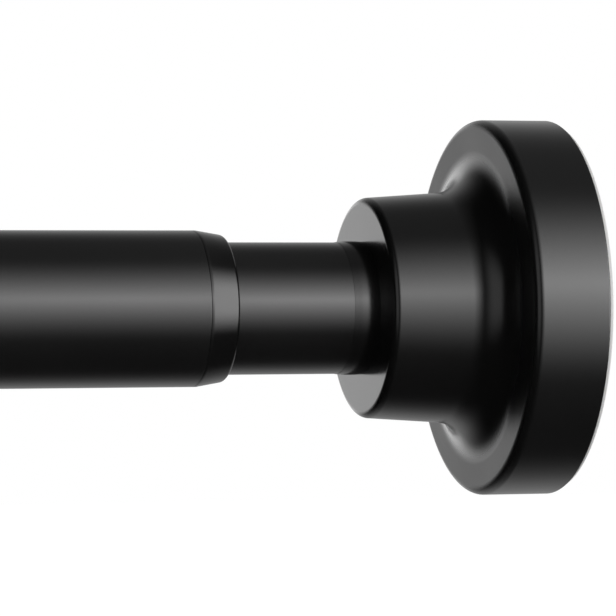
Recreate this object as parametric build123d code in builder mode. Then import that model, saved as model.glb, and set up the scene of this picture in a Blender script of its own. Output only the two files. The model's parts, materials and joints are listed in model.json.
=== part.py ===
from build123d import *
from dataclasses import dataclass
from math import radians, tan
import os

# Spring-loaded telescopic shower curtain rod, pushed together to its shortest set length.
# The origin is the centre of the left pad's wall face. +X runs along the rod to the right wall,
# +Z is up. Lengths are in millimetres. A depth is measured from an end's own wall face.

os.makedirs("parts", exist_ok=True)

# Whole rod
rod_length = 1067.0
collar_seam_to_wall = 60.5

# Tubes
outer_tube_radius = 12.5
outer_tube_wall = 0.8
tube_gap = 1.1
inner_tube_wall = 0.8
tube_edge_round = 0.3

# Clearances
running_clearance = 0.08
guide_clearance = 0.15
axial_play = 0.3
seat_gap = 0.2

# Cups
cup_height = 31.52
boss_thickness = 5.25
flange_width = 12.75
rim_width = 12.5
boss_draft = 3.9
neck_blend_radius = 6.5
boss_edge_round = 1.2
flange_edge_round = 1.5
cup_back_round = 0.3
cup_wall = 2.6
hub_wall = 2.2
core_height = 6.0
rib_count = 8
rib_thickness = 1.8
web_depth = 8.6
web_thickness = 3.1
screw_pocket_radius = 8.5

# Liners in the cup mouths
liner_wall = 0.32
liner_stand_out = 4.23
liner_taper_length = 1.3
liner_taper_drop = 0.24

# Wall pads
pad_lip_thickness = 0.65
pad_lip_inset = 0.5
pad_lip_round = 0.3
pad_thickness = 3.5
pad_side_clearance = 0.1
pad_groove_width = 1.2
pad_groove_depth = 0.4
pad_groove_pitch = 5.0
pad_first_groove_radius = 10.0
pad_groove_count = 4

# Swivel screws and their washers
screw_shoulder_radius = 3.0
screw_thread_radius = 2.0
screw_thread_length = 13.0
screw_head_radius = 5.2
screw_head_height = 2.6
screw_head_round = 0.8
recess_width = 1.2
recess_length = 5.6
recess_depth = 1.5
swivel_washer_radius = 7.0
swivel_washer_thickness = 1.0

# End plugs
plug_flange_thickness = 1.2
plug_flange_inset = 0.2
plug_length = 18.0
plug_wall = 1.8
plug_core_depth = 12.0
plug_boss_radius = 4.6
plug_boss_setback = 2.0
plug_rib_count = 4
plug_rib_thickness = 1.4
plug_lead_in = 0.6

# Collar on the outer tube's mouth
collar_length = 4.9
collar_shoulder = 0.5
collar_nose_wall = 1.15
collar_nose_round = 0.72
collar_edge_round = 0.2
collar_spigot_length = 22.0
collar_lead_in = 0.5

# Twist lock
lock_to_plug = 1.2
stud_tip = 1.6
stud_chamfer = 0.8
nut_height = 6.0
nut_across_flats = 13.0
nut_chamfer = 0.5
thread_lead = 3.0
cone_length = 18.0
cone_rim_length = 2.6
cone_rim_inset = 1.25
cone_half_angle = 7.0
cone_clearance = 0.15
cone_entry = 3.6
key_length = 12.0
key_thickness = 1.5
key_inset = 0.5
sleeve_length = 40.0
sleeve_taper_length = 16.0
sleeve_web_thickness = 8.0
slit_length = 29.0
slit_count = 4
grip_groove_count = 5
grip_groove_width = 1.2
grip_groove_depth = 0.4
grip_groove_pitch = 4.0
first_grip_groove = 5.0
thrust_washer_overhang = 1.5
thrust_washer_thickness = 1.2

# Plunger and spring
plunger_radius = 4.0
plunger_flange_radius = 6.5
plunger_flange_thickness = 2.5
spring_travel = 18.5
travel_margin = 0.8
bush_flange_thickness = 5.0
bush_spigot_length = 20.0
bush_groove_width = 1.4
bush_groove_depth = 0.6
bush_edge_chamfer = 0.4
head_length = 13.0
head_groove_width = 2.0
head_groove_depth = 0.8
head_thread_radius = 3.0
head_thread_length = 10.0
spring_length = 48.0
spring_wire_radius = 1.0
spring_side_clearance = 0.8
spring_turns = 6.5
nose_clearance = 0.5
nose_length = 5.0
nose_chamfer = 0.8
spring_washer_clearance = 0.6
spring_washer_thickness = 1.0
stop_plug_length = 18.0
stop_plug_core_depth = 11.0
crimp_roller_radius = 2.5
crimp_depth = 0.5

# Radii worked out from the sizes above
outer_bore = outer_tube_radius - outer_tube_wall
inner_tube_radius = outer_bore - tube_gap
inner_bore = inner_tube_radius - inner_tube_wall
boss_radius = outer_tube_radius + boss_thickness
flange_radius = boss_radius + flange_width
rim_bore = flange_radius - cup_wall
guide_radius = outer_bore - guide_clearance
cone_large_radius = guide_radius - cone_rim_inset
thrust_washer_radius = plunger_flange_radius + thrust_washer_overhang
spring_mean_radius = inner_bore - spring_side_clearance - spring_wire_radius
spring_washer_radius = inner_bore - spring_washer_clearance
nose_radius = spring_mean_radius - spring_wire_radius - nose_clearance
crimp_centre = inner_tube_radius + crimp_roller_radius - crimp_depth
crimp_radius = crimp_roller_radius + inner_tube_wall

# Depths of each end's pieces behind its wall face
cup_back = pad_lip_thickness
flange_face = cup_back + rim_width
boss_face = cup_back + cup_height
web_front = web_depth + web_thickness
screw_seat = web_depth - axial_play - swivel_washer_thickness
plug_face = web_front + axial_play
tube_end = plug_face + plug_flange_thickness
plug_inner_end = tube_end + plug_length
liner_end = boss_face + liner_stand_out

# Stations along the rod
collar_seam = rod_length - collar_seam_to_wall
stud_start = plug_inner_end + lock_to_plug
nut_start = stud_start + stud_tip
cone_start = nut_start + nut_height + thread_lead + axial_play
sleeve_start = cone_start + cone_entry
sleeve_end = sleeve_start + sleeve_length
thrust_washer_start = sleeve_end + guide_clearance
plunger_flange_start = thrust_washer_start + thrust_washer_thickness
plunger_flange_end = plunger_flange_start + plunger_flange_thickness
bush_start = plunger_flange_end + spring_travel + travel_margin
inner_tube_start = bush_start + bush_flange_thickness
head_start = inner_tube_start + bush_spigot_length + seat_gap
head_end = head_start + head_length
spring_start = head_end + spring_washer_thickness
spring_end = spring_start + spring_length
stop_plug_start = spring_end + spring_washer_thickness
stop_plug_end = stop_plug_start + stop_plug_length
crimp_middle = (stop_plug_start + stop_plug_end) / 2


@dataclass
class End:
    """One end of the rod: its name, its wall face and the tube that its cup holds.

    The wall plane's own x is the depth from the wall along the rod, and its y is up.
    """

    name: str
    wall: Plane
    tube_radius: float
    tube_bore: float

    def __post_init__(self):
        self.liner_bore = self.tube_radius + running_clearance
        self.socket_radius = self.liner_bore + liner_wall
        self.hub_radius = self.socket_radius + hub_wall

    def turned(self, angle):
        """The wall plane turned about the rod's axis by an angle in degrees."""
        return self.wall.rotated((angle, 0, 0))

    def square(self, depth):
        """The plane square to the rod at a depth, facing away from the wall."""
        return Plane(origin=self.wall.from_local_coords((depth, 0, 0)), z_dir=self.wall.x_dir)


left = End("left", Plane.XZ, outer_tube_radius, outer_bore)
right_wall = Plane(origin=(rod_length, 0, 0), x_dir=(-1, 0, 0), z_dir=(0, 1, 0))
right = End("right", right_wall, inner_tube_radius, inner_bore)


def keep(piece, name):
    """Label a finished piece and write it out."""
    piece.part.label = name
    export_step(piece.part, f"parts/{name}.step")


def band(start, end, inner, outer, mode=Mode.ADD):
    """Draw a rectangle between two stations along the rod and between two radii."""
    with Locations(((start + end) / 2, (inner + outer) / 2)):
        Rectangle(end - start, outer - inner, mode=mode)


def corner(sketch, x, y):
    """The sketch's corner nearest to a point."""
    return sketch.vertices().sort_by_distance((x, y))[0]


# Outer form of a cup, as half a section: flange, blended neck and tapering boss
neck_foot = boss_radius + (boss_face - flange_face) * tan(radians(boss_draft))
with BuildSketch() as bell:
    with BuildLine():
        Polyline(
            (cup_back, 0),
            (cup_back, flange_radius),
            (flange_face, flange_radius),
            (flange_face, neck_foot),
            (boss_face, boss_radius),
            (boss_face, 0),
            close=True,
        )
    make_face()
    fillet(corner(bell, flange_face, neck_foot), neck_blend_radius)
    fillet(corner(bell, flange_face, flange_radius), flange_edge_round)
    fillet(corner(bell, boss_face, boss_radius), boss_edge_round)
    fillet(corner(bell, cup_back, flange_radius), cup_back_round)


def core_section(inner_radius, skin):
    """The space behind the flange, one skin inside the bell and open towards the pad."""
    with BuildSketch() as core:
        add(bell.sketch)
        offset(amount=-skin)
        band(
            pad_thickness,
            flange_face - skin + core_height,
            inner_radius,
            flange_radius - skin,
            Mode.INTERSECT,
        )
    return core.sketch


def end_cup(end):
    """A moulded cup: bell, pad seat, screw pocket, web, tube socket and cored back with ribs."""
    with BuildPart() as cup:
        with BuildSketch(end.wall):
            add(bell.sketch)
        revolve(axis=Axis.X)
        with BuildSketch(end.wall):
            add(core_section(end.hub_radius, cup_wall))
            band(cup_back, pad_thickness, 0, rim_bore)
            band(pad_thickness, web_depth, 0, screw_pocket_radius)
            band(web_depth, web_front, 0, screw_shoulder_radius + running_clearance)
            band(web_front, boss_face, 0, end.socket_radius)
        revolve(axis=Axis.X, mode=Mode.SUBTRACT)
        rib = core_section(end.hub_radius - hub_wall / 2, cup_wall / 2)
        for index in range(rib_count):
            with BuildSketch(end.turned(index * 360 / rib_count)):
                add(rib)
        extrude(amount=rib_thickness / 2, both=True)
    return cup


def cup_liner(end):
    """A thin sleeve in the cup's mouth, tapered where it stands out of the boss."""
    with BuildPart() as liner:
        with BuildSketch(end.wall):
            with BuildLine():
                Polyline(
                    (web_front, end.liner_bore),
                    (web_front, end.socket_radius),
                    (liner_end - liner_taper_length, end.socket_radius),
                    (liner_end, end.socket_radius - liner_taper_drop),
                    (liner_end, end.liner_bore),
                    close=True,
                )
            make_face()
        revolve(axis=Axis.X)
    return liner


def wall_pad(end):
    """A soft pad: a lip under the cup's rim, a body inside it and grooves on the wall face."""
    lip_radius = flange_radius - pad_lip_inset
    with BuildPart() as pad:
        with BuildSketch(end.wall) as section:
            band(0, pad_lip_thickness, 0, lip_radius)
            fillet(corner(section, 0, lip_radius), pad_lip_round)
            band(pad_lip_thickness, pad_thickness, 0, rim_bore - pad_side_clearance)
            for index in range(pad_groove_count):
                groove = pad_first_groove_radius + index * pad_groove_pitch
                band(0, pad_groove_depth, groove, groove + pad_groove_width, Mode.SUBTRACT)
        revolve(axis=Axis.X)
    return pad


def cup_screw(end):
    """A shouldered cross-head screw on which the cup turns."""
    head_back = screw_seat - screw_head_height
    with BuildPart() as screw:
        with BuildSketch(end.wall) as section:
            band(head_back, screw_seat, 0, screw_head_radius)
            fillet(corner(section, head_back, screw_head_radius), screw_head_round)
            band(screw_seat, plug_face, 0, screw_shoulder_radius)
            band(plug_face, plug_face + screw_thread_length, 0, screw_thread_radius)
        revolve(axis=Axis.X)
        with BuildSketch(end.square(head_back)):
            Rectangle(recess_length, recess_width)
            Rectangle(recess_width, recess_length)
        extrude(amount=recess_depth, mode=Mode.SUBTRACT)
    return screw


def cup_washer(end):
    """The washer between the screw's head and the cup's web."""
    with BuildPart() as washer:
        with BuildSketch(end.wall):
            band(
                screw_seat,
                screw_seat + swivel_washer_thickness,
                screw_shoulder_radius + running_clearance,
                swivel_washer_radius,
            )
        revolve(axis=Axis.X)
    return washer


def end_plug(end):
    """A plug pressed into the tube's end: flange, wall, screw boss and the webs between them."""
    cored_radius = end.tube_bore - plug_wall
    core_start = plug_inner_end - plug_core_depth
    boss_end = plug_inner_end - plug_boss_setback
    with BuildPart() as plug:
        with BuildSketch(end.wall) as section:
            band(tube_end, plug_inner_end, 0, end.tube_bore)
            chamfer(corner(section, plug_inner_end, end.tube_bore), plug_lead_in)
            band(plug_face, tube_end, 0, end.tube_radius - plug_flange_inset)
            band(core_start, plug_inner_end, plug_boss_radius, cored_radius, Mode.SUBTRACT)
            band(boss_end, plug_inner_end, 0, plug_boss_radius, Mode.SUBTRACT)
            band(
                plug_face,
                plug_face + screw_thread_length,
                0,
                screw_thread_radius,
                Mode.SUBTRACT,
            )
        revolve(axis=Axis.X)
        for index in range(plug_rib_count):
            with BuildSketch(end.turned(index * 360 / plug_rib_count)):
                band(
                    core_start,
                    boss_end,
                    plug_boss_radius - plug_rib_thickness / 2,
                    cored_radius + plug_wall / 2,
                )
        extrude(amount=plug_rib_thickness / 2, both=True)
    return plug


for end in (left, right):
    keep(end_cup(end), f"{end.name}_cup")
    keep(cup_liner(end), f"{end.name}_cup_liner")
    keep(wall_pad(end), f"{end.name}_wall_pad")
    keep(cup_screw(end), f"{end.name}_cup_screw")
    keep(cup_washer(end), f"{end.name}_cup_washer")
    keep(end_plug(end), f"{end.name}_end_plug")

# Outer tube, with rounded outside edges at both ends
with BuildPart() as outer_tube:
    with BuildSketch(Plane.XZ) as outer_tube_section:
        band(tube_end, collar_seam, outer_bore, outer_tube_radius)
        fillet(corner(outer_tube_section, collar_seam, outer_tube_radius), tube_edge_round)
        fillet(corner(outer_tube_section, tube_end, outer_tube_radius), tube_edge_round)
    revolve(axis=Axis.X)
keep(outer_tube, "outer_tube")

# Inner tube, rolled in over the stop plug
with BuildPart() as inner_tube:
    inner_tube_end = rod_length - tube_end
    with BuildSketch(Plane.XZ) as inner_tube_section:
        with Locations((crimp_middle, crimp_centre)):
            Circle(crimp_radius)
        band(
            crimp_middle - crimp_radius,
            crimp_middle + crimp_radius,
            inner_tube_radius,
            crimp_centre + crimp_radius,
            Mode.SUBTRACT,
        )
        band(inner_tube_start, inner_tube_end, inner_bore, inner_tube_radius)
        with Locations((crimp_middle, crimp_centre)):
            Circle(crimp_roller_radius, mode=Mode.SUBTRACT)
        fillet(corner(inner_tube_section, inner_tube_start, inner_tube_radius), tube_edge_round)
        fillet(corner(inner_tube_section, inner_tube_end, inner_tube_radius), tube_edge_round)
    revolve(axis=Axis.X)
keep(inner_tube, "inner_tube")

# Tapered collar, whose long spigot fills the outer tube's mouth and guides the inner tube
collar_front = collar_seam + collar_length
collar_bore = inner_tube_radius + running_clearance
collar_nose_radius = inner_tube_radius + collar_nose_wall
collar_bend = collar_seam + collar_shoulder
with BuildPart() as tube_collar:
    with BuildSketch(Plane.XZ) as collar_section:
        with BuildLine():
            Polyline(
                (collar_seam, collar_bore),
                (collar_seam, outer_tube_radius),
                (collar_bend, outer_tube_radius),
                (collar_front, collar_nose_radius),
                (collar_front, collar_bore),
                close=True,
            )
        make_face()
        fillet(corner(collar_section, collar_front, collar_nose_radius), collar_nose_round)
        fillet(corner(collar_section, collar_seam, outer_tube_radius), collar_edge_round)
        band(collar_seam - collar_spigot_length, collar_seam, collar_bore, outer_bore)
        chamfer(
            corner(collar_section, collar_seam - collar_spigot_length, outer_bore),
            collar_lead_in,
        )
    revolve(axis=Axis.X)
keep(tube_collar, "tube_collar")

# Bush on the inner tube's inner end, sliding in the outer tube and holding the plunger back
with BuildPart() as inner_tube_bush:
    with BuildSketch(Plane.XZ) as bush_section:
        bush_bore = plunger_radius + running_clearance
        bush_middle = (bush_start + inner_tube_start) / 2
        band(bush_start, inner_tube_start, bush_bore, guide_radius)
        chamfer(corner(bush_section, bush_start, guide_radius), bush_edge_chamfer)
        chamfer(corner(bush_section, inner_tube_start, guide_radius), bush_edge_chamfer)
        band(
            bush_middle - bush_groove_width / 2,
            bush_middle + bush_groove_width / 2,
            guide_radius - bush_groove_depth,
            guide_radius,
            Mode.SUBTRACT,
        )
        band(inner_tube_start, inner_tube_start + bush_spigot_length, bush_bore, inner_bore)
    revolve(axis=Axis.X)
keep(inner_tube_bush, "inner_tube_bush")

# Plunger rod: lock stud at its left end, thrust flange, and a threaded end in the plunger head
with BuildPart() as plunger_rod:
    with BuildSketch(Plane.XZ) as rod_section:
        band(stud_start, head_start, 0, plunger_radius)
        chamfer(corner(rod_section, stud_start, plunger_radius), stud_chamfer)
        band(plunger_flange_start, plunger_flange_end, 0, plunger_flange_radius)
        band(head_start, head_start + head_thread_length, 0, head_thread_radius)
    revolve(axis=Axis.X)
keep(plunger_rod, "plunger_rod")

# Plunger head, sliding in the inner tube behind the spring
with BuildPart() as plunger_head:
    with BuildSketch(Plane.XZ) as head_section:
        head_radius = inner_bore - guide_clearance
        head_middle = (head_start + head_end) / 2
        head_nose_end = spring_start + nose_length
        band(head_start, head_end, 0, head_radius)
        band(
            head_middle - head_groove_width / 2,
            head_middle + head_groove_width / 2,
            head_radius - head_groove_depth,
            head_radius,
            Mode.SUBTRACT,
        )
        band(head_end, head_nose_end, 0, nose_radius)
        chamfer(corner(head_section, head_nose_end, nose_radius), nose_chamfer)
        band(head_start, head_start + head_thread_length, 0, head_thread_radius, Mode.SUBTRACT)
    revolve(axis=Axis.X)
keep(plunger_head, "plunger_head")

# Spring, between a washer on the plunger head and a washer on the stop plug
spring_rise = spring_length - 2 * spring_wire_radius
with BuildPart() as compression_spring:
    with BuildLine():
        coil = Helix(
            pitch=spring_rise / spring_turns,
            height=spring_rise,
            radius=spring_mean_radius,
            center=(spring_start + spring_wire_radius, 0, 0),
            direction=(1, 0, 0),
        )
    with BuildSketch(coil ^ 0):
        Circle(spring_wire_radius)
    sweep(path=coil, is_frenet=True)
keep(compression_spring, "compression_spring")

spring_washer_starts = {"plunger": head_end, "stop": spring_end}
for place, washer_start in spring_washer_starts.items():
    with BuildPart() as spring_washer:
        with BuildSketch(Plane.XZ):
            band(
                washer_start,
                washer_start + spring_washer_thickness,
                nose_radius + running_clearance,
                spring_washer_radius,
            )
        revolve(axis=Axis.X)
    keep(spring_washer, f"{place}_spring_washer")

# Stop plug, held by the rolled crimp, with a nose inside the spring
with BuildPart() as spring_stop_plug:
    with BuildSketch(Plane.XZ) as stop_section:
        stop_nose_end = spring_end - nose_length
        band(stop_plug_start, stop_plug_end, 0, inner_bore)
        chamfer(corner(stop_section, stop_plug_end, inner_bore), plug_lead_in)
        with Locations((crimp_middle, crimp_centre)):
            Circle(crimp_radius, mode=Mode.SUBTRACT)
        band(
            stop_plug_end - stop_plug_core_depth,
            stop_plug_end,
            0,
            inner_bore - plug_wall - crimp_depth,
            Mode.SUBTRACT,
        )
        band(stop_nose_end, stop_plug_start, 0, nose_radius)
        chamfer(corner(stop_section, stop_nose_end, nose_radius), nose_chamfer)
    revolve(axis=Axis.X)
keep(spring_stop_plug, "spring_stop_plug")

# Split sleeve of the twist lock: a taper bore for the cone, slits and grip grooves
taper = tan(radians(cone_half_angle))
taper_mouth = cone_large_radius - (cone_entry - cone_rim_length) * taper + cone_clearance
taper_throat = taper_mouth - sleeve_taper_length * taper
sleeve_taper_end = sleeve_start + sleeve_taper_length
sleeve_web_start = sleeve_end - sleeve_web_thickness
with BuildPart() as lock_sleeve:
    with BuildSketch(Plane.XZ):
        with BuildLine():
            Polyline(
                (sleeve_start, taper_mouth),
                (sleeve_start, guide_radius),
                (sleeve_end, guide_radius),
                (sleeve_end, plunger_radius + running_clearance),
                (sleeve_web_start, plunger_radius + running_clearance),
                (sleeve_web_start, taper_throat),
                (sleeve_taper_end, taper_throat),
                close=True,
            )
        make_face()
        for index in range(grip_groove_count):
            groove = sleeve_start + first_grip_groove + index * grip_groove_pitch
            band(
                groove,
                groove + grip_groove_width,
                guide_radius - grip_groove_depth,
                guide_radius,
                Mode.SUBTRACT,
            )
    revolve(axis=Axis.X)
    with BuildSketch(Plane.YZ.offset(sleeve_start)):
        with PolarLocations(0, slit_count):
            Rectangle(
                outer_bore,
                key_thickness + 2 * cone_clearance,
                align=(Align.MIN, Align.CENTER),
            )
    extrude(amount=slit_length, mode=Mode.SUBTRACT)
keep(lock_sleeve, "lock_sleeve")

# Cone nut, drawn into the sleeve by the stud, with keys that ride in the slits
cone_end = cone_start + cone_length
cone_small_radius = cone_large_radius - (cone_length - cone_rim_length) * taper
with BuildPart() as lock_cone:
    with BuildSketch(Plane.XZ):
        with BuildLine():
            Polyline(
                (cone_start, 0),
                (cone_start, cone_large_radius),
                (cone_start + cone_rim_length, cone_large_radius),
                (cone_end, cone_small_radius),
                (cone_end, 0),
                close=True,
            )
        make_face()
    revolve(axis=Axis.X)
    with BuildSketch(Plane.YZ.offset(cone_start)):
        with PolarLocations(0, slit_count):
            Rectangle(
                outer_bore - key_inset,
                key_thickness,
                align=(Align.MIN, Align.CENTER),
            )
    extrude(amount=key_length)
    with BuildSketch(Plane.YZ.offset(cone_start)):
        Circle(plunger_radius + running_clearance)
    extrude(amount=cone_length, mode=Mode.SUBTRACT)
keep(lock_cone, "lock_cone")

# Nut that keeps the cone on the stud
with BuildPart() as lock_nut:
    with BuildSketch(Plane.YZ.offset(nut_start)):
        RegularPolygon(nut_across_flats / 2, 6, major_radius=False)
        Circle(plunger_radius, mode=Mode.SUBTRACT)
    extrude(amount=nut_height)
    nut_faces = lock_nut.faces().filter_by(Axis.X)
    chamfer(nut_faces.edges().filter_by(GeomType.LINE), nut_chamfer)
keep(lock_nut, "lock_nut")

with BuildPart() as thrust_washer:
    with BuildSketch(Plane.XZ):
        band(
            thrust_washer_start,
            plunger_flange_start,
            plunger_radius + running_clearance,
            thrust_washer_radius,
        )
    revolve(axis=Axis.X)
keep(thrust_washer, "thrust_washer")
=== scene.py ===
"""A telescopic shower curtain rod dressed for the camera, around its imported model.

The rod lies along X between two walls, with Z up and the camera on the -Y side. Everything is in
metres. A depth is measured from an end's own wall face along the rod.
"""

import json
import logging
from dataclasses import dataclass
from enum import Enum
from math import asin, cos, pi, radians, sin, sqrt, tan

import bmesh
import bpy
from mathutils import Matrix, Vector

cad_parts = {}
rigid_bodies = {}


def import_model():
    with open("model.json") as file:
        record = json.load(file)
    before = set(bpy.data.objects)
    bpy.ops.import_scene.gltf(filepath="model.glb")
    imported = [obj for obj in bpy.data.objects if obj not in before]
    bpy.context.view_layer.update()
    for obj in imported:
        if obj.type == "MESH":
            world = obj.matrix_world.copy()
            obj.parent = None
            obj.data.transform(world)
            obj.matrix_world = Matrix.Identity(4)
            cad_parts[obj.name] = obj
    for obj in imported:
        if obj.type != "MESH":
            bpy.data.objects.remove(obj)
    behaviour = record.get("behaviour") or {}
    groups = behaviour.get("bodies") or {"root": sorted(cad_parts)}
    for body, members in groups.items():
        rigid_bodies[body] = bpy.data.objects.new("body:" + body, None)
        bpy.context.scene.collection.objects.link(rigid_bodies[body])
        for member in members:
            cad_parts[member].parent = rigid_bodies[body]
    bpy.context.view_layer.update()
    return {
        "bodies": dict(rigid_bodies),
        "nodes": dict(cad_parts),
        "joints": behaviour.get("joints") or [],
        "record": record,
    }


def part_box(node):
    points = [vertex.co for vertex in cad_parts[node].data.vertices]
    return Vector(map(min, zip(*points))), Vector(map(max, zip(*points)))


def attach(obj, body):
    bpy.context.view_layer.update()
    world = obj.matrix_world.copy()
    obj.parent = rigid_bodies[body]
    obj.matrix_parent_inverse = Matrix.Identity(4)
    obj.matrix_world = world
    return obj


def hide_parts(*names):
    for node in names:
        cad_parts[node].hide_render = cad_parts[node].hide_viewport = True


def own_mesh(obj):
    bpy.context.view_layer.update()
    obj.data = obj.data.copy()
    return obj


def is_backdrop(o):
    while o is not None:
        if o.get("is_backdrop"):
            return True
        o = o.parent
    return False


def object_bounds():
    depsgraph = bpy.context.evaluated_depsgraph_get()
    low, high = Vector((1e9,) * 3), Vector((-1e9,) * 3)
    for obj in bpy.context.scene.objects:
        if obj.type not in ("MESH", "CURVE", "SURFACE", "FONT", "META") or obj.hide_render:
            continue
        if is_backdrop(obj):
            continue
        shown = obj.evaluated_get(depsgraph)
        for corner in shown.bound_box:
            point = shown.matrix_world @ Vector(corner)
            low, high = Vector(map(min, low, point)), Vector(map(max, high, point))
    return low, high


MM = 0.001
MERGE_DISTANCE = 1e-6
ON_POINT = 1e-5
LONGEST_FACE = 0.05
FLAT_FACE_WEIGHT = 100
PATTERN_MIDDLE = (0.3, 0.7)
FACING_GAIN = 6.0
FACING_EASE = 0.05

log = logging.getLogger("shower_rod")


# Drawing and turning of half sections


@dataclass(frozen=True)
class Corner:
    """A corner of a half section: its station along the rod, its radius and its rounding."""

    station: float
    radius: float
    rounding: float = 0.0
    steps: int = 6

    @property
    def place(self) -> Vector:
        """Where the corner lies in the plane of the section."""
        return Vector((self.station, 0.0, self.radius))


def arc(
    station: float, radius: float, size: float, start: float, end: float, steps: int
) -> list[Corner]:
    """Work out corners along an arc of a half section.

    Args:
        station: The arc centre's station along the rod.
        radius: The arc centre's distance from the rod's axis.
        size: The arc's own radius.
        start: The angle of the first corner in radians, from +X towards the axis's outside.
        end: The angle of the last corner in radians.
        steps: The number of chords between them.

    Returns:
        The corners, in order.
    """
    angles = [start + (end - start) * index / steps for index in range(steps + 1)]
    return [Corner(station + size * cos(a), radius + size * sin(a)) for a in angles]


def deselect_everything() -> None:
    """Leave object mode and deselect every object."""
    if bpy.context.object and bpy.context.object.mode != "OBJECT":
        bpy.ops.object.mode_set(mode="OBJECT")
    bpy.ops.object.select_all(action="DESELECT")


def make_active(piece: bpy.types.Object) -> None:
    """Make a piece the only selected object and the active one."""
    deselect_everything()
    piece.select_set(True)
    bpy.context.view_layer.objects.active = piece


def select_corners(piece: bpy.types.Object, places: list[Vector]) -> None:
    """Select the vertices of a piece in edit mode that lie on any of the given places."""
    mesh = bmesh.from_edit_mesh(piece.data)
    for vertex in mesh.verts:
        vertex.select = any((vertex.co - place).length < ON_POINT for place in places)
    mesh.select_flush(False)
    mesh.select_flush(True)
    bmesh.update_edit_mesh(piece.data)


def draw_section(name: str, corners: list[Corner]) -> bpy.types.Object:
    """Draw a half section by extruding a single point, and round its corners.

    Args:
        name: The piece's name.
        corners: The corners in order. A section that doesn't touch the axis is closed.

    Returns:
        The piece, in edit mode, with the section's edges in the XZ plane.
    """
    deselect_everything()
    bpy.ops.mesh.primitive_plane_add(size=MM, location=(0.0, 0.0, 0.0))
    piece = bpy.context.object
    piece.name = name
    piece.data.name = name
    bpy.ops.object.mode_set(mode="EDIT")
    bpy.ops.mesh.merge(type="CENTER")
    bpy.ops.transform.translate(value=corners[0].place)
    for before, after in zip(corners, corners[1:]):
        step = after.place - before.place
        bpy.ops.mesh.extrude_vertices_move(TRANSFORM_OT_translate={"value": step})
    first, last = corners[0], corners[-1]
    if first.radius > ON_POINT or last.radius > ON_POINT:
        select_corners(piece, [first.place, last.place])
        bpy.ops.mesh.edge_face_add()
    round_corners(piece, corners)
    return piece


def round_corners(piece: bpy.types.Object, corners: list[Corner]) -> None:
    """Bevel each rounded corner of a section, to an arc that touches both its edges."""
    count = len(corners)
    for index, corner in enumerate(corners):
        if corner.rounding <= 0.0:
            continue
        to_last = corners[index - 1].place - corner.place
        to_next = corners[(index + 1) % count].place - corner.place
        inside = to_last.angle(to_next)
        select_corners(piece, [corner.place])
        bpy.ops.mesh.bevel(
            offset=corner.rounding / tan(inside / 2),
            segments=corner.steps,
            profile=0.5,
            affect="VERTICES",
            clamp_overlap=False,
        )


def cut_long_edges(piece: bpy.types.Object) -> None:
    """Divide a section's edges so that none runs far along the rod."""
    mesh = bmesh.from_edit_mesh(piece.data)
    spans = [abs(edge.verts[0].co.x - edge.verts[1].co.x) for edge in mesh.edges]
    for edge, span in zip(mesh.edges, spans):
        edge.select = span > LONGEST_FACE
    mesh.select_flush(False)
    bmesh.update_edit_mesh(piece.data)
    if max(spans) > LONGEST_FACE:
        bpy.ops.mesh.subdivide(number_cuts=int(max(spans) / LONGEST_FACE))


def turn(name: str, corners: list[Corner], sides: int) -> bpy.types.Object:
    """Turn a half section once round the rod's axis.

    Args:
        name: The piece's name.
        corners: The corners of the half section, in order.
        sides: The number of steps round the axis.

    Returns:
        The turned piece, closed, with its faces outwards, in object mode.
    """
    piece = draw_section(name, corners)
    cut_long_edges(piece)
    bpy.ops.mesh.select_all(action="SELECT")
    bpy.ops.mesh.spin(
        steps=sides, angle=2 * pi, center=(0.0, 0.0, 0.0), axis=(1.0, 0.0, 0.0)
    )
    close_up(piece)
    return piece


def close_up(piece: bpy.types.Object) -> None:
    """Merge a piece's doubles, point its faces outwards and leave edit mode."""
    bpy.ops.mesh.select_all(action="SELECT")
    bpy.ops.mesh.remove_doubles(threshold=MERGE_DISTANCE)
    bpy.ops.mesh.normals_make_consistent(inside=False)
    bpy.ops.object.mode_set(mode="OBJECT")


def smooth(piece: bpy.types.Object, angle: float = 32.0) -> None:
    """Smooth a piece's shading up to an angle in degrees, with flat faces kept flat."""
    make_active(piece)
    bpy.ops.object.shade_smooth_by_angle(angle=radians(angle))
    weighted = piece.modifiers.new("flat faces", "WEIGHTED_NORMAL")
    weighted.keep_sharp = True
    weighted.weight = FLAT_FACE_WEIGHT
    bpy.ops.object.modifier_apply(modifier=weighted.name)


# Shader nodes and finishes


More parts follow.
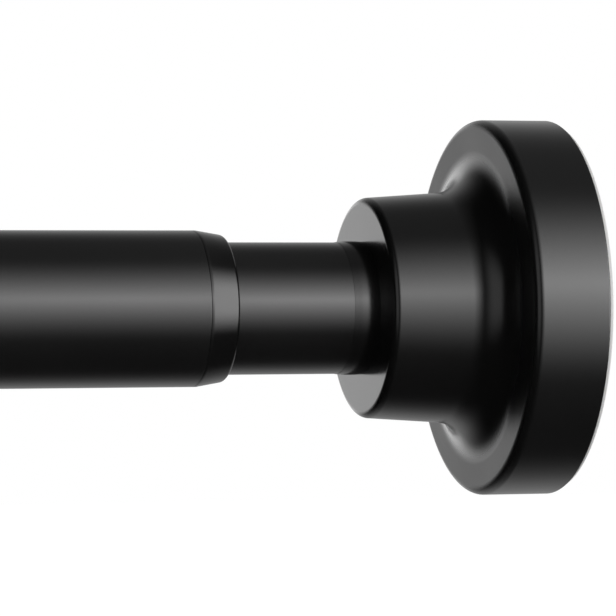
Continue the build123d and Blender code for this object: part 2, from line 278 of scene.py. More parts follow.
class NodeGraph:
    """Adds and joins the nodes of a material or of the world."""

    def __init__(self, tree: bpy.types.NodeTree) -> None:
        self.tree = tree
        self.tree.nodes.clear()

    def add(self, kind: str) -> bpy.types.Node:
        """Add a node of a kind."""
        return self.tree.nodes.new(kind)

    def link(self, source: bpy.types.NodeSocket, target: bpy.types.NodeSocket) -> None:
        """Join an output to an input."""
        self.tree.links.new(source, target)

    def feed(
        self, socket: bpy.types.NodeSocket, value: float | bpy.types.NodeSocket
    ) -> None:
        """Give an input a number or another node's output."""
        if isinstance(value, bpy.types.NodeSocket):
            self.link(value, socket)
        else:
            socket.default_value = value

    def math(
        self, operation: str, *values: float | bpy.types.NodeSocket
    ) -> bpy.types.NodeSocket:
        """Add a math node and return its result."""
        node = self.add("ShaderNodeMath")
        node.operation = operation
        for socket, value in zip(node.inputs, values):
            self.feed(socket, value)
        return node.outputs["Value"]

    def ramp(
        self,
        value: bpy.types.NodeSocket,
        start: float,
        end: float,
        low: float,
        high: float,
        smooth: bool = True,
    ) -> bpy.types.NodeSocket:
        """Run a value from low at the start to high at the end, and hold it outside.

        Args:
            value: The value to follow.
            start: Where the ramp starts.
            end: Where it ends.
            low: The result up to the start.
            high: The result past the end.
            smooth: Whether the ramp eases in and out.

        Returns:
            The ramp's result.
        """
        node = self.add("ShaderNodeMapRange")
        node.interpolation_type = "SMOOTHSTEP" if smooth else "LINEAR"
        node.inputs["From Min"].default_value = start
        node.inputs["From Max"].default_value = end
        node.inputs["To Min"].default_value = low
        node.inputs["To Max"].default_value = high
        self.link(value, node.inputs["Value"])
        return node.outputs["Result"]

    def background(self, strength: float | bpy.types.NodeSocket) -> bpy.types.NodeSocket:
        """Add a white background of a strength."""
        node = self.add("ShaderNodeBackground")
        node.inputs["Color"].default_value = (1.0, 1.0, 1.0, 1.0)
        self.feed(node.inputs["Strength"], strength)
        return node.outputs["Background"]

    def blend(
        self,
        share: bpy.types.NodeSocket,
        without: bpy.types.NodeSocket,
        with_it: bpy.types.NodeSocket,
    ) -> bpy.types.NodeSocket:
        """Mix two shaders by a share."""
        node = self.add("ShaderNodeMixShader")
        self.link(share, node.inputs[0])
        self.link(without, node.inputs[1])
        self.link(with_it, node.inputs[2])
        return node.outputs[0]


class ShaderSheet(NodeGraph):
    """The nodes of one material, around a principled shader."""

    def __init__(self, name: str) -> None:
        self.material = bpy.data.materials.new(name)
        self.material.use_nodes = True
        super().__init__(self.material.node_tree)
        output = self.add("ShaderNodeOutputMaterial")
        self.shader = self.add("ShaderNodeBsdfPrincipled")
        self.link(self.shader.outputs["BSDF"], output.inputs["Surface"])
        self.place = self.add("ShaderNodeTexCoord").outputs["Object"]

    def noise(
        self, scale: float, detail: float = 2.0, stretch: Vector | None = None
    ) -> bpy.types.NodeSocket:
        """Add a noise pattern in the piece's own space.

        Args:
            scale: How many features there are to a metre.
            detail: How many finer layers the pattern has.
            stretch: Scale factors along X, Y and Z, or None for an even pattern.

        Returns:
            The pattern's factor, from 0 to 1.
        """
        pattern = self.add("ShaderNodeTexNoise")
        pattern.inputs["Scale"].default_value = scale
        pattern.inputs["Detail"].default_value = detail
        place = self.place
        if stretch is not None:
            mapping = self.add("ShaderNodeMapping")
            mapping.inputs["Scale"].default_value = stretch
            self.link(self.place, mapping.inputs["Vector"])
            place = mapping.outputs["Vector"]
        self.link(place, pattern.inputs["Vector"])
        return pattern.outputs["Fac"]

    def spread(
        self, factor: bpy.types.NodeSocket, middle: float, drift: float
    ) -> bpy.types.NodeSocket:
        """Let a value drift either way from its middle with a pattern."""
        return self.ramp(factor, *PATTERN_MIDDLE, middle - drift, middle + drift, smooth=False)

    def outer_faces(
        self, start: float, full: float, value: float
    ) -> bpy.types.NodeSocket:
        """Give a value on the flat faces square to the rod, away from its axis.

        Args:
            start: The radius up to which the result is 0.
            full: The radius from which it is the value.
            value: The value.

        Returns:
            The value there, and 0 on all other faces.
        """
        coordinates = self.add("ShaderNodeTexCoord")
        normal = self.add("ShaderNodeSeparateXYZ")
        self.link(coordinates.outputs["Normal"], normal.inputs["Vector"])
        square = self.math("ABSOLUTE", normal.outputs["X"])
        near = self.math("MULTIPLY_ADD", square, FACING_GAIN, 1.0 - FACING_GAIN)
        facing = self.math("SMOOTH_MAX", near, 0.0, FACING_EASE)
        place = self.add("ShaderNodeSeparateXYZ")
        self.link(self.place, place.inputs["Vector"])
        across = self.math("MULTIPLY", place.outputs["Y"], place.outputs["Y"])
        squares = self.math("MULTIPLY_ADD", place.outputs["Z"], place.outputs["Z"], across)
        outside = self.ramp(squares, start**2, full**2, 0.0, value, smooth=False)
        return self.math("MULTIPLY", facing, outside)

    def tint(
        self,
        factor: bpy.types.NodeSocket,
        one: tuple[float, float, float],
        other: tuple[float, float, float],
    ) -> None:
        """Let the base colour vary between two colours with a pattern."""
        ramp = self.add("ShaderNodeValToRGB")
        ramp.color_ramp.elements[0].position = PATTERN_MIDDLE[0]
        ramp.color_ramp.elements[0].color = (*one, 1.0)
        ramp.color_ramp.elements[1].position = PATTERN_MIDDLE[1]
        ramp.color_ramp.elements[1].color = (*other, 1.0)
        self.link(factor, ramp.inputs["Fac"])
        self.link(ramp.outputs["Color"], self.shader.inputs["Base Color"])

    def emboss(self, height: bpy.types.NodeSocket, depth: float) -> None:
        """Raise the surface by a pattern, to a depth in metres."""
        bump = self.add("ShaderNodeBump")
        bump.inputs["Distance"].default_value = depth
        bump.inputs["Strength"].default_value = 1.0
        self.link(height, bump.inputs["Height"])
        self.link(bump.outputs["Normal"], self.shader.inputs["Normal"])


def shade(color: tuple[float, float, float], share: float) -> tuple[float, float, float]:
    """Scale a colour."""
    return tuple(part * share for part in color)


@dataclass(frozen=True)
class Satin:
    """A satin paint or moulded plastic: an even colour with a fine grain in its surface."""

    name: str
    color: tuple[float, float, float]
    roughness: float
    ior: float = 1.5
    roughness_drift: float = 0.02
    color_drift: float = 0.1
    grain_scale: float = 2600.0
    grain_depth: float = 0.004 * MM
    drift_scale: float = 45.0
    drift_detail: float = 3.0
    coarse_from: float = 0.0
    coarse_full: float = 1.0
    coarse_added: float = 0.0

    def build(self) -> bpy.types.Material:
        """Make the material."""
        sheet = ShaderSheet(self.name)
        sheet.shader.inputs["IOR"].default_value = self.ior
        drift = sheet.noise(self.drift_scale, self.drift_detail)
        darker = shade(self.color, 1 - self.color_drift)
        lighter = shade(self.color, 1 + self.color_drift)
        sheet.tint(drift, darker, lighter)
        roughness = sheet.spread(drift, self.roughness, self.roughness_drift)
        if self.coarse_added:
            coarse = sheet.outer_faces(
                self.coarse_from, self.coarse_full, self.coarse_added
            )
            roughness = sheet.math("ADD", roughness, coarse)
        sheet.link(roughness, sheet.shader.inputs["Roughness"])
        sheet.emboss(sheet.noise(self.grain_scale), self.grain_depth)
        return sheet.material


@dataclass(frozen=True)
class Silicone:
    """A soft translucent silicone with a dull bloom."""

    name: str
    color: tuple[float, float, float]
    roughness: float
    glow_depth: float
    glow_weight: float = 0.25
    glow_spread: tuple[float, float, float] = (1.0, 0.9, 0.8)
    ior: float = 1.41
    roughness_drift: float = 0.05
    bloom_scale: float = 160.0
    bloom_detail: float = 4.0
    bloom_shade: float = 0.96
    grain_scale: float = 1800.0
    grain_depth: float = 0.006 * MM

    def build(self) -> bpy.types.Material:
        """Make the material."""
        sheet = ShaderSheet(self.name)
        shader = sheet.shader
        shader.inputs["Subsurface Weight"].default_value = self.glow_weight
        shader.inputs["Subsurface Radius"].default_value = self.glow_spread
        shader.inputs["Subsurface Scale"].default_value = self.glow_depth
        shader.inputs["IOR"].default_value = self.ior
        bloom = sheet.noise(self.bloom_scale, self.bloom_detail)
        sheet.tint(bloom, shade(self.color, self.bloom_shade), self.color)
        roughness = sheet.spread(bloom, self.roughness, self.roughness_drift)
        sheet.link(roughness, shader.inputs["Roughness"])
        sheet.emboss(sheet.noise(self.grain_scale), self.grain_depth)
        return sheet.material


@dataclass(frozen=True)
class Metal:
    """A bare or plated metal with fine marks along or round the rod."""

    name: str
    color: tuple[float, float, float]
    roughness: float
    marks: tuple[float, float, float]
    mark_scale: float = 900.0
    mark_detail: float = 3.0
    mark_shade: float = 0.86
    mark_depth: float = 0.003 * MM
    roughness_drift: float = 0.07

    def build(self) -> bpy.types.Material:
        """Make the material."""
        sheet = ShaderSheet(self.name)
        sheet.shader.inputs["Metallic"].default_value = 1.0
        drawn = sheet.noise(self.mark_scale, self.mark_detail, Vector(self.marks))
        sheet.tint(drawn, shade(self.color, self.mark_shade), self.color)
        roughness = sheet.spread(drawn, self.roughness, self.roughness_drift)
        sheet.link(roughness, sheet.shader.inputs["Roughness"])
        sheet.emboss(drawn, self.mark_depth)
        return sheet.material


class Slot(Enum):
    """The record's material slots."""

    TUBE_COAT = "black_powder_coat"
    CUP_PLASTIC = "black_moulded_plastic"
    COLLAR_PLASTIC = "black_gloss_plastic"
    PAD_SILICONE = "pale_silicone"
    NYLON = "natural_nylon"
    PLUG_PLASTIC = "dark_plug_plastic"
    ZINC = "zinc_plated_steel"
    SPRING_STEEL = "spring_steel"


FINISHES = {
    Slot.TUBE_COAT: Satin("satin black powder coat", (0.009, 0.009, 0.009), 0.2, 1.8),
    Slot.CUP_PLASTIC: Satin(
        "satin black moulding",
        (0.008, 0.008, 0.008),
        0.2,
        1.8,
        coarse_from=23.6 * MM,
        coarse_full=25.6 * MM,
        coarse_added=0.185,
    ),
    Slot.COLLAR_PLASTIC: Satin("smooth black moulding", (0.007, 0.007, 0.007), 0.15, 1.72),
    Slot.PAD_SILICONE: Silicone("pale silicone", (0.8, 0.8, 0.79), 0.5, 1.2 * MM),
    Slot.NYLON: Satin("natural nylon", (0.74, 0.71, 0.62), 0.42, 1.53, grain_scale=1500.0),
    Slot.PLUG_PLASTIC: Satin("dark plug plastic", (0.05, 0.05, 0.05), 0.5),
    Slot.ZINC: Metal("zinc plate", (0.72, 0.73, 0.75), 0.32, (0.25, 1.0, 1.0)),
    Slot.SPRING_STEEL: Metal("spring wire", (0.36, 0.36, 0.38), 0.34, (1.0, 1.0, 1.0)),
}


class Wardrobe:
    """Makes each finish once and puts it on pieces and on the frame's own nodes."""

    def __init__(self, frame: dict) -> None:
        self.frame = frame
        self.materials = {slot: finish.build() for slot, finish in FINISHES.items()}

    def dress(
        self, piece: bpy.types.Object, slot: Slot, body: str, *nodes: str
    ) -> None:
        """Finish a new piece, let it ride on a body and let it stand for CAD nodes.

        Args:
            piece: The finished mesh.
            slot: The material slot that it takes its finish from.
            body: The CAD body that carries it.
            nodes: The CAD nodes that it replaces.
        """
        piece.data.materials.clear()
        piece.data.materials.append(self.materials[slot])
        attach(piece, body)
        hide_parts(*nodes)
        log.info("%s: %d faces, on %s", piece.name, len(piece.data.polygons), body)

    def dress_nodes(self) -> None:
        """Put the finishes on the CAD nodes that stay in view, by their slots in the record."""
        slots = {part["node"]: part["material_slot"] for part in self.frame["record"]["subparts"]}
        for name, node in self.frame["nodes"].items():
            material = self.materials[Slot(slots[name])]
            for material_slot in node.material_slots:
                material_slot.material = material


# The two ends


class Side(Enum):
    """Which wall an end of the rod stands on."""

    LEFT = "left"
    RIGHT = "right"


@dataclass
class EndCup:
    """One end of the rod: cup, liner and wall pad, at the places that the frame gives."""

    side: Side
    rim_width: float = 12.5 * MM
    boss_radius: float = 17.75 * MM
    boss_draft: float = radians(3.9)
    neck_blend: float = 6.5 * MM
    boss_edge_round: float = 1.2 * MM
    flange_edge_round: float = 1.5 * MM
    back_round: float = 0.3 * MM
    wall: float = 2.6 * MM
    hub_wall: float = 2.2 * MM
    core_height: float = 6.0 * MM
    web_thickness: float = 3.1 * MM
    pocket_radius: float = 8.5 * MM
    shoulder_bore: float = 3.08 * MM
    rib_count: int = 8
    rib_thickness: float = 1.8 * MM
    liner_crest_inset: float = 2.1 * MM
    liner_crest_drop: float = 0.16 * MM
    liner_crest_round: float = 16.0 * MM
    liner_mouth_drop: float = 0.28 * MM
    liner_mouth_depth: float = 0.3 * MM
    liner_wall: float = 0.32 * MM
    liner_lip: float = 0.5 * MM
    liner_lip_wall: float = 0.04 * MM
    liner_lip_gap: float = 0.015 * MM
    pad_lip_round: float = 0.3 * MM
    pad_side_clearance: float = 0.1 * MM
    groove_width: float = 1.2 * MM
    groove_depth: float = 0.4 * MM
    groove_pitch: float = 5.0 * MM
    first_groove: float = 10.0 * MM
    groove_count: int = 4
    back_steps: int = 4
    edge_steps: int = 10
    neck_steps: int = 20
    core_steps: int = 10
    rib_steps: int = 8
    pad_lip_steps: int = 5
    sides: int = 192

    def __post_init__(self) -> None:
        """Read the stations and radii that the frame fixes."""
        name = self.side.value
        self.wall_face = 0.0
        self.outwards = 1.0
        if self.side is Side.RIGHT:
            self.wall_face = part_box(f"{name}_wall_pad")[1][0]
            self.outwards = -1.0
        cup_low, cup_high = (Vector(corner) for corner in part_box(f"{name}_cup"))
        self.cup_back, self.boss_face = sorted(
            abs(station - self.wall_face) for station in (cup_low.x, cup_high.x)
        )
        self.flange_radius = cup_high.z
        self.flange_face = self.cup_back + self.rim_width
        self.rim_bore = self.flange_radius - self.wall
        self.core_roof = self.flange_face - self.wall + self.core_height
        liner_low, liner_high = (Vector(corner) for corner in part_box(f"{name}_cup_liner"))
        self.web_front, self.liner_end = sorted(
            abs(station - self.wall_face) for station in (liner_low.x, liner_high.x)
        )
        self.socket_radius = liner_high.z
        self.liner_bore = self.socket_radius - self.liner_wall
        self.hub_radius = self.socket_radius + self.hub_wall
        self.web_back = self.web_front - self.web_thickness
        pad_low, pad_high = (Vector(corner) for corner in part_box(f"{name}_wall_pad"))
        self.pad_thickness = pad_high.x - pad_low.x
        self.pad_radius = pad_high.z

    def at(
        self, depth: float, radius: float, rounding: float = 0.0, steps: int = 6
    ) -> Corner:
        """A corner of a section at a depth from this end's wall face."""
        station = self.wall_face + self.outwards * depth
        return Corner(station, radius, rounding, steps)

    def neck_radius(self, depth: float) -> float:
        """The radius of the tapering boss at a depth, were it to run on to the wall."""
        return self.boss_radius + (self.boss_face - depth) * tan(self.boss_draft)

    def inner_blend(self, skin: float, top: float, steps: int) -> list[Corner]:
        """Draw the blend inside the bell, round the same centre as the neck's.

        Args:
            skin: How far it runs inside the cup's outer face.
            top: The depth that it reaches up to.
            steps: The number of chords along it.

        Returns:
            The corners, from the top to the flange.
        """
        size = self.neck_blend + skin
        depth = self.flange_face + self.neck_blend
        radius = self.neck_radius(depth) + self.neck_blend / cos(self.boss_draft)
        span = asin(sqrt(size**2 - (depth - top) ** 2) / size)
        angles = [span * index / steps for index in range(steps, -1, -1)]
        return [self.at(depth - size * cos(a), radius - size * sin(a)) for a in angles]

    def cup(self) -> bpy.types.Object:
        """Turn the cup: bell with blended neck, socket, web, screw pocket and cored back."""
        face, foot = self.flange_face, self.neck_radius(self.flange_face)
        corners = [
            self.at(self.cup_back, self.rim_bore),
            self.at(self.cup_back, self.flange_radius, self.back_round, self.back_steps),
            self.at(face, self.flange_radius, self.flange_edge_round, self.edge_steps),
            self.at(face, foot, self.neck_blend, self.neck_steps),
            self.at(self.boss_face, self.boss_radius, self.boss_edge_round, self.edge_steps),
            self.at(self.boss_face, self.socket_radius - self.liner_mouth_drop),
            self.at(self.boss_face - self.liner_mouth_depth, self.socket_radius),
            self.at(self.web_front, self.socket_radius),
            self.at(self.web_front, self.shoulder_bore),
            self.at(self.web_back, self.shoulder_bore),
            self.at(self.web_back, self.pocket_radius),
            self.at(self.pad_thickness, self.pocket_radius),
            self.at(self.pad_thickness, self.hub_radius),
            self.at(self.core_roof, self.hub_radius),
            *self.inner_blend(self.wall, self.core_roof, self.core_steps),
            self.at(self.flange_face - self.wall, self.rim_bore),
        ]
        cup = turn(f"{self.side.value}_cup_moulding", corners, self.sides)
        self.add_ribs(cup)
        smooth(cup)
        return cup

    def add_ribs(self, cup: bpy.types.Object) -> None:
        """Join the ribs that stiffen the cored back to the cup."""
        ribs = self.ribs()
        make_active(cup)
        union = cup.modifiers.new("ribs", "BOOLEAN")
        union.operation = "UNION"
        union.solver = "EXACT"
        union.object = ribs
        bpy.ops.object.modifier_apply(modifier=union.name)
        bpy.data.objects.remove(ribs, do_unlink=True)

    def ribs(self) -> bpy.types.Object:
        """Draw one rib's outline, thicken it and copy it round the axis.

        Returns:
            The ribs, each a closed plate that reaches half a wall into the cup all round.
        """
        skin = self.wall / 2
        top = self.core_roof + skin
        inner = self.hub_radius - self.hub_wall / 2
        corners = [
            self.at(self.pad_thickness, inner),
            self.at(top, inner),
            *self.inner_blend(skin, top, self.rib_steps),
            self.at(self.flange_face - skin, self.flange_radius - skin),
            self.at(self.pad_thickness, self.flange_radius - skin),
        ]
        ribs = draw_section(f"{self.side.value}_cup_ribs", corners)
        bpy.ops.mesh.select_all(action="SELECT")
        bpy.ops.mesh.edge_face_add()
        bpy.ops.transform.translate(value=(0.0, -self.rib_thickness / 2, 0.0))
        bpy.ops.mesh.extrude_region_move(
            TRANSFORM_OT_translate={"value": (0.0, self.rib_thickness, 0.0)}
        )
        bpy.ops.mesh.select_all(action="SELECT")
        bpy.ops.mesh.spin(
            steps=self.rib_count - 1,
            dupli=True,
            angle=2 * pi * (self.rib_count - 1) / self.rib_count,
            center=(0.0, 0.0, 0.0),
            axis=(1.0, 0.0, 0.0),
        )
        close_up(ribs)
        return ribs

    def liner(self) -> bpy.types.Object:
        """Turn the thin sleeve that stands out of the cup's mouth with a tapered end."""
        crest = self.liner_end - self.liner_crest_inset
        crest_radius = self.socket_radius - self.liner_crest_drop
        lip_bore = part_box("inner_tube")[1][2] + self.liner_lip_gap
        corners = [
            self.at(self.web_front, self.liner_bore),
            self.at(self.web_front, self.socket_radius),
            self.at(self.boss_face - self.liner_mouth_depth, self.socket_radius),
            self.at(self.boss_face, self.socket_radius - self.liner_mouth_drop),
            self.at(crest, crest_radius, self.liner_crest_round, self.edge_steps),
            self.at(self.liner_end, lip_bore + self.liner_lip_wall),
            self.at(self.liner_end, lip_bore),
            self.at(self.liner_end - self.liner_lip, self.liner_bore),
        ]
        liner = turn(f"{self.side.value}_cup_sleeve", corners, self.sides)
        smooth(liner)
        return liner

    def pad(self) -> bpy.types.Object:
        """Turn the soft pad, with its lip under the cup's rim and the grooves on its wall face."""
        lip = self.cup_back
        body_radius = self.rim_bore - self.pad_side_clearance
        corners = [self.at(0.0, 0.0)]
        for index in range(self.groove_count):
            inner = self.first_groove + index * self.groove_pitch
            outer = inner + self.groove_width
            corners += [
                self.at(0.0, inner),
                self.at(self.groove_depth, inner),
                self.at(self.groove_depth, outer),
                self.at(0.0, outer),
            ]
        corners += [
            self.at(0.0, self.pad_radius, self.pad_lip_round, self.pad_lip_steps),
            self.at(lip, self.pad_radius),
            self.at(lip, body_radius),
            self.at(self.pad_thickness, body_radius),
            self.at(self.pad_thickness, 0.0),
        ]
        pad = turn(f"{self.side.value}_grip_pad", corners, self.sides)
        smooth(pad)
        return pad

    def build(self, wardrobe: Wardrobe) -> None:
        """Make this end's pieces and dress them."""
        name = self.side.value
        body = f"{name}_end"
        wardrobe.dress(self.cup(), Slot.CUP_PLASTIC, body, f"{name}_cup")
        wardrobe.dress(self.liner(), Slot.CUP_PLASTIC, body, f"{name}_cup_liner")
        wardrobe.dress(self.pad(), Slot.PAD_SILICONE, body, f"{name}_wall_pad")


# The tubes and the collar between them


@dataclass
class TubePair:
    """Outer tube with its collar, and the inner tube that slides in it."""

    tube_wall: float = 0.8 * MM
    edge_round: float = 0.12 * MM
    running_clearance: float = 0.03 * MM
    collar_shoulder: float = 0.5 * MM
    collar_nose_wall: float = 1.15 * MM
    collar_nose_round: float = 0.72 * MM
    collar_edge_round: float = 0.04 * MM
    collar_lead_in: float = 0.5 * MM
    crimp_roller: float = 2.5 * MM
    crimp_depth: float = 0.5 * MM
    stop_plug_length: float = 18.0 * MM
    edge_steps: int = 5
    collar_edge_steps: int = 4
    nose_steps: int = 8
    crimp_steps: int = 10
    sides: int = 160

    def __post_init__(self) -> None:
        """Read the stations and radii that the frame fixes."""
        low, high = (Vector(corner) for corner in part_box("outer_tube"))
        self.outer_start, self.seam, self.outer_radius = low.x, high.x, high.z
        self.outer_bore = self.outer_radius - self.tube_wall
        low, high = (Vector(corner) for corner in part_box("inner_tube"))
        self.inner_start, self.inner_end, self.inner_radius = low.x, high.x, high.z
        self.inner_bore = self.inner_radius - self.tube_wall
        self.collar_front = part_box("tube_collar")[1][0]
        self.spigot_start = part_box("tube_collar")[0][0]
        plug_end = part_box("spring_stop_plug")[1][0]
        self.crimp_middle = plug_end - self.stop_plug_length / 2

    def outer_tube(self) -> bpy.types.Object:
        """Turn the outer tube, with its outside edges rounded over at both ends."""
        corners = [
            Corner(self.outer_start, self.outer_bore),
            Corner(self.outer_start, self.outer_radius, self.edge_round, self.edge_steps),
            Corner(self.seam, self.outer_radius, self.edge_round, self.edge_steps),
            Corner(self.seam, self.outer_bore),
        ]
        tube = turn("outer_tube_shell", corners, self.sides)
        smooth(tube)
        return tube

    def crimp(self, radius: float, size: float) -> list[Corner]:
        """The rolled-in groove over the stop plug, from left to right.

        Args:
            radius: The radius of the tube surface that the groove is rolled into.
            size: The groove's own radius there.

        Returns:
            The corners of the groove's arc.
        """
        centre = self.inner_radius + self.crimp_roller - self.crimp_depth
        half = sqrt(size**2 - (centre - radius) ** 2)
        reach = Vector((half, radius - centre)).angle(Vector((0.0, -1.0)))
        start, end = -pi / 2 - reach, -pi / 2 + reach
        return arc(self.crimp_middle, centre, size, start, end, self.crimp_steps)

    def inner_tube(self) -> bpy.types.Object:
        """Turn the inner tube, with the groove that holds the spring's stop plug."""
        corners = [
            Corner(self.inner_start, self.inner_bore),
            Corner(self.inner_start, self.inner_radius, self.edge_round, self.edge_steps),
            *self.crimp(self.inner_radius, self.crimp_roller),
            Corner(self.inner_end, self.inner_radius, self.edge_round, self.edge_steps),
            Corner(self.inner_end, self.inner_bore),
            *reversed(self.crimp(self.inner_bore, self.crimp_roller + self.tube_wall)),
        ]
        tube = turn("inner_tube_shell", corners, self.sides)
        smooth(tube)
        return tube

    def collar(self) -> bpy.types.Object:
        """Turn the tapered collar with its long spigot inside the outer tube."""
        bore = self.inner_radius + self.running_clearance
        nose_radius = self.inner_radius + self.collar_nose_wall
        corners = [
            Corner(self.spigot_start, bore),
            Corner(self.spigot_start, self.outer_bore - self.collar_lead_in),
            Corner(self.spigot_start + self.collar_lead_in, self.outer_bore),
            Corner(self.seam, self.outer_bore),
            Corner(self.seam, self.outer_radius, self.collar_edge_round, self.collar_edge_steps),
            Corner(self.seam + self.collar_shoulder, self.outer_radius),
            Corner(self.collar_front, nose_radius, self.collar_nose_round, self.nose_steps),
            Corner(self.collar_front, bore),
        ]
        collar = turn("tube_mouth_collar", corners, self.sides)
        smooth(collar)
        return collar

    def build(self, wardrobe: Wardrobe) -> None:
        """Make the tubes and the collar and dress them."""
        wardrobe.dress(self.outer_tube(), Slot.TUBE_COAT, "outer_rod", "outer_tube")
        wardrobe.dress(self.inner_tube(), Slot.TUBE_COAT, "inner_rod", "inner_tube")
        wardrobe.dress(self.collar(), Slot.COLLAR_PLASTIC, "outer_rod", "tube_collar")


# The spring inside the inner tube


@dataclass
class Spring:
    """The compression spring between the plunger's head and the stop plug."""

    wire_radius: float = 1.0 * MM
    turns: float = 6.5
    travel: float = 18.5 * MM
    steps_per_turn: int = 40
    wire_sides: int = 20
    smooth_angle: float = 50.0

    def build(self, wardrobe: Wardrobe) -> None:
        """Wind the spring and let it ride on the inner rod."""
        node = "compression_spring"
        low, high = (Vector(corner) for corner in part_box(node))
        middle = high.z - self.wire_radius
        deselect_everything()
        bpy.ops.mesh.primitive_circle_add(
            vertices=self.wire_sides, radius=self.wire_radius, location=(0.0, 0.0, 0.0)
        )
        wire = bpy.context.object
        wire.name = "spring_coil"
        wire.data.name = "spring_coil"
        start = low.x + self.wire_radius
        bpy.ops.object.mode_set(mode="EDIT")
        bpy.ops.mesh.select_all(action="SELECT")
        bpy.ops.transform.rotate(
            value=pi / 2, orient_axis="X", center_override=(0.0, 0.0, 0.0)
        )
        bpy.ops.transform.translate(value=(start, 0.0, middle))
        bpy.ops.object.mode_set(mode="OBJECT")
        winding = wire.modifiers.new("winding", "SCREW")
        winding.axis = "X"
        winding.angle = 2 * pi * self.turns
        winding.screw_offset = high.x - low.x - 2 * self.wire_radius
        winding.steps = winding.render_steps = int(self.steps_per_turn * self.turns)
        winding.use_merge_vertices = False
        make_active(wire)
        bpy.ops.object.modifier_apply(modifier=winding.name)
        bpy.ops.object.mode_set(mode="EDIT")
        bpy.ops.mesh.select_all(action="DESELECT")
        bpy.ops.mesh.select_non_manifold()
        bpy.ops.mesh.fill_holes(sides=0)
        close_up(wire)
        smooth(wire, self.smooth_angle)
        wardrobe.dress(wire, Slot.SPRING_STEEL, "inner_rod", node)
        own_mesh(wire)


# Studio


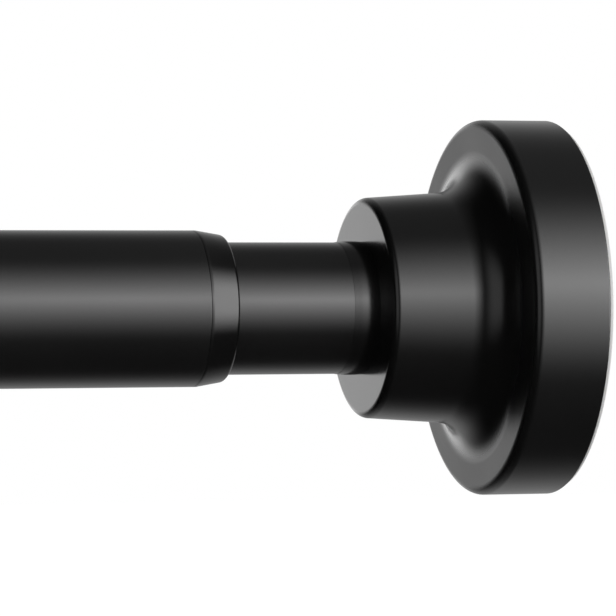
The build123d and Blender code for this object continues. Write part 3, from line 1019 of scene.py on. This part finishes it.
@dataclass
class Studio:
    """White surroundings, a pale floor, a broad soft light in front and a glow behind the rod.

    Strengths are radiances as the rod sees them, heights are angles above the level front, and
    limits are the X, Y or Z parts of a direction of length one.
    """

    floor_drop: float = 0.25
    floor_size: float = 9.0
    floor_color: float = 0.85
    floor_lift: float = 0.72
    key_strength: float = 2.88
    key_height: float = radians(14.6)
    key_spread: float = radians(64.0)
    key_falloff: float = 2.0
    key_left_limit: float = -0.3
    key_left_full: float = 0.38
    wide_spread: float = radians(58.0)
    wide_core: float = radians(14.0)
    wide_start: float = 0.38
    wide_full: float = 0.56
    wide_thinning: float = 0.8
    tail_above: float = 0.037
    tail_below: float = 0.008
    tail_high: float = radians(-15.0)
    tail_low: float = radians(-95.0)
    side_strength: float = 0.36
    side_limits: tuple[float, float, float, float] = (-0.28, -0.72, -0.9, -0.965)
    backdrop_edge: tuple[float, float] = (0.1, 0.45)
    haze_strength: float = 0.38
    haze_top: tuple[float, float] = (0.92, 0.25)
    haze_bottom: tuple[float, float] = (-1.0, -0.55)
    haze_left: tuple[float, float] = (-0.5, 0.04)
    horizon_strength: float = 1.34
    horizon_top: float = 0.37
    horizon_core: float = 0.06
    horizon_left: tuple[float, float] = (-0.67, -0.17)
    horizon_middle: float = 0.02
    horizon_right: tuple[float, float] = (0.18, 0.03)
    dome_strength: float = 0.12

    def build(self) -> None:
        """Lay the floor and light the studio."""
        self.floor()
        self.surroundings()

    def floor(self) -> None:
        """Lay a floor, white to the camera where nothing shades it and not seen in gloss."""
        deselect_everything()
        bpy.ops.mesh.primitive_plane_add(size=self.floor_size)
        floor = bpy.context.object
        floor.name = "studio_floor"
        middle = sum((Vector(corner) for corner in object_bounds()), Vector()) / 2
        bpy.ops.transform.translate(value=(middle.x, middle.y, -self.floor_drop))
        bpy.ops.object.transform_apply(location=True, rotation=True, scale=True)
        material = bpy.data.materials.new("pale floor")
        material.use_nodes = True
        graph = NodeGraph(material.node_tree)
        rays = graph.add("ShaderNodeLightPath")
        paint = graph.add("ShaderNodeBsdfDiffuse")
        paint.inputs["Color"].default_value = (*[self.floor_color] * 3, 1.0)
        lift = graph.add("ShaderNodeEmission")
        lift.inputs["Strength"].default_value = self.floor_lift
        bright = graph.add("ShaderNodeAddShader")
        graph.link(paint.outputs[0], bright.inputs[0])
        graph.link(lift.outputs[0], bright.inputs[1])
        seen = graph.blend(rays.outputs["Is Camera Ray"], paint.outputs[0], bright.outputs[0])
        clear = graph.add("ShaderNodeBsdfTransparent").outputs[0]
        floored = graph.blend(rays.outputs["Is Glossy Ray"], seen, clear)
        output = graph.add("ShaderNodeOutputMaterial")
        graph.link(floored, output.inputs["Surface"])
        floor.data.materials.append(material)
        floor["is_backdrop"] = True

    def surroundings(self) -> None:
        """White to the camera; to the rod, a bright front, a dim left side and a glow behind."""
        world = bpy.data.worlds.new("studio")
        bpy.context.scene.world = world
        world.use_nodes = True
        graph = NodeGraph(world.node_tree)
        axes = graph.add("ShaderNodeSeparateXYZ")
        direction = graph.add("ShaderNodeTexCoord").outputs["Generated"]
        graph.link(direction, axes.inputs["Vector"])
        rays = graph.add("ShaderNodeLightPath")
        dome = graph.math("MULTIPLY", rays.outputs["Is Diffuse Ray"], self.dome_strength)
        front = graph.math("ADD", self.key_light(graph, axes), self.side_light(graph, axes))
        behind = graph.math("ADD", self.back_glow(graph, axes), dome)
        lit = graph.background(graph.math("ADD", front, behind))
        white = graph.background(1.0)
        output = graph.add("ShaderNodeOutputWorld")
        shown = graph.blend(rays.outputs["Is Camera Ray"], lit, white)
        graph.link(shown, output.inputs["Surface"])

    def height(self, graph: NodeGraph, axes: bpy.types.Node) -> bpy.types.NodeSocket:
        """Measure how far a direction is turned up or down from the key light's middle."""
        ahead = graph.math("MULTIPLY", axes.outputs["Y"], -1.0)
        height = graph.math("ARCTAN2", axes.outputs["Z"], ahead)
        return graph.math("SUBTRACT", height, self.key_height)

    def key_light(self, graph: NodeGraph, axes: bpy.types.Node) -> bpy.types.NodeSocket:
        """The light in front: a bright middle that fades up and down, broader to the right.

        Args:
            graph: The world's nodes.
            axes: The node that gives the X, Y and Z of the direction looked in.

        Returns:
            The light's radiance in that direction.
        """
        height = self.height(graph, axes)
        away = graph.math("ABSOLUTE", height)
        tent = graph.ramp(away, self.key_spread, 0.0, 0.0, 1.0, smooth=False)
        narrow = graph.math("POWER", tent, self.key_falloff)
        wide = graph.ramp(away, self.wide_spread, self.wide_core, 0.0, 1.0)
        sideways = axes.outputs["X"]
        widening = graph.ramp(sideways, self.wide_start, self.wide_full, 0.0, 1.0)
        added = graph.math("MULTIPLY", graph.math("SUBTRACT", wide, narrow), widening)
        band = graph.math("ADD", narrow, added)
        tail = graph.ramp(
            height, self.tail_low, self.tail_high, self.tail_below, self.tail_above
        )
        thinned = graph.math("MULTIPLY_ADD", widening, -self.wide_thinning, 1.0)
        tail = graph.math("MULTIPLY", tail, thinned)
        edge = graph.ramp(
            sideways, self.key_left_limit, self.key_left_full, 0.0, 1.0, smooth=False
        )
        shape = graph.math("MULTIPLY", graph.math("ADD", band, tail), edge)
        return graph.math("MULTIPLY", shape, self.key_strength)

    def side_light(self, graph: NodeGraph, axes: bpy.types.Node) -> bpy.types.NodeSocket:
        """A dim upright strip on the left, which draws thin lines along rounded edges.

        Args:
            graph: The world's nodes.
            axes: The node that gives the X, Y and Z of the direction looked in.

        Returns:
            The strip's radiance in that direction.
        """
        away = graph.math("ABSOLUTE", self.height(graph, axes))
        band = graph.ramp(away, self.wide_spread, self.wide_core, 0.0, self.side_strength)
        start, full, fading, end = self.side_limits
        rise = graph.ramp(axes.outputs["X"], start, full, 0.0, 1.0)
        fall = graph.ramp(axes.outputs["X"], fading, end, 1.0, 0.0)
        return graph.math("MULTIPLY", band, graph.math("MULTIPLY", rise, fall))

    def back_glow(self, graph: NodeGraph, axes: bpy.types.Node) -> bpy.types.NodeSocket:
        """The backdrop behind the rod: a tall haze, and a bright horizon left of the middle.

        Args:
            graph: The world's nodes.
            axes: The node that gives the X, Y and Z of the direction looked in.

        Returns:
            The glow's radiance in that direction.
        """
        sideways, behind, upwards = (axes.outputs[axis] for axis in "XYZ")
        level = graph.math("ABSOLUTE", graph.math("SUBTRACT", upwards, self.horizon_middle))
        low = graph.ramp(level, self.horizon_top, self.horizon_core, 0.0, 1.0)
        left = graph.ramp(sideways, *self.horizon_left, 0.0, self.horizon_strength)
        right = graph.ramp(sideways, *self.horizon_right, 0.0, 1.0)
        horizon = graph.math("MULTIPLY", low, graph.math("MULTIPLY", left, right))
        high = graph.ramp(upwards, *self.haze_top, 0.0, 1.0)
        deep = graph.ramp(upwards, *self.haze_bottom, 0.0, 1.0)
        across = graph.ramp(sideways, *self.haze_left, 0.0, self.haze_strength)
        haze = graph.math("MULTIPLY", across, graph.math("MULTIPLY", high, deep))
        there = graph.ramp(behind, *self.backdrop_edge, 0.0, 1.0)
        return graph.math("MULTIPLY", there, graph.math("ADD", horizon, haze))


@dataclass
class ProductCamera:
    """A level long-lens camera on the right-hand end of the rod."""

    azimuth: float = radians(16.976)
    roll: float = radians(-0.237)
    distance: float = 662.435 * MM
    lens: float = 240.58
    target_from_wall: float = 41.04 * MM
    target_height: float = 0.04 * MM
    sensor_width: float = 36.0
    clip_start: float = 0.01

    def build(self) -> None:
        """Place the camera and make it the scene's."""
        wall_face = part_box("right_wall_pad")[1][0]
        target = Vector((wall_face - self.target_from_wall, 0.0, self.target_height))
        forward = Vector((sin(self.azimuth), cos(self.azimuth), 0.0))
        level = Vector((cos(self.azimuth), -sin(self.azimuth), 0.0))
        upright = Vector((0.0, 0.0, 1.0))
        right = level * cos(self.roll) + upright * sin(self.roll)
        up = upright * cos(self.roll) - level * sin(self.roll)
        data = bpy.data.cameras.new("product camera")
        data.lens = self.lens
        data.sensor_width = self.sensor_width
        data.clip_start = self.clip_start
        camera = bpy.data.objects.new("product_camera", data)
        bpy.context.collection.objects.link(camera)
        camera.matrix_world = Matrix(
            (
                (right.x, up.x, -forward.x, target.x - forward.x * self.distance),
                (right.y, up.y, -forward.y, target.y - forward.y * self.distance),
                (right.z, up.z, -forward.z, target.z - forward.z * self.distance),
                (0.0, 0.0, 0.0, 1.0),
            )
        )
        bpy.context.scene.camera = camera


def main() -> None:
    """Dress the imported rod, piece by piece."""
    logging.basicConfig(level=logging.INFO, format="%(name)s: %(message)s")
    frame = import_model()
    bpy.context.scene.view_settings.view_transform = "Standard"
    wardrobe = Wardrobe(frame)
    wardrobe.dress_nodes()
    for side in Side:
        EndCup(side).build(wardrobe)
    TubePair().build(wardrobe)
    Spring().build(wardrobe)
    ProductCamera().build()
    Studio().build()


if __name__ == "__main__":
    main()
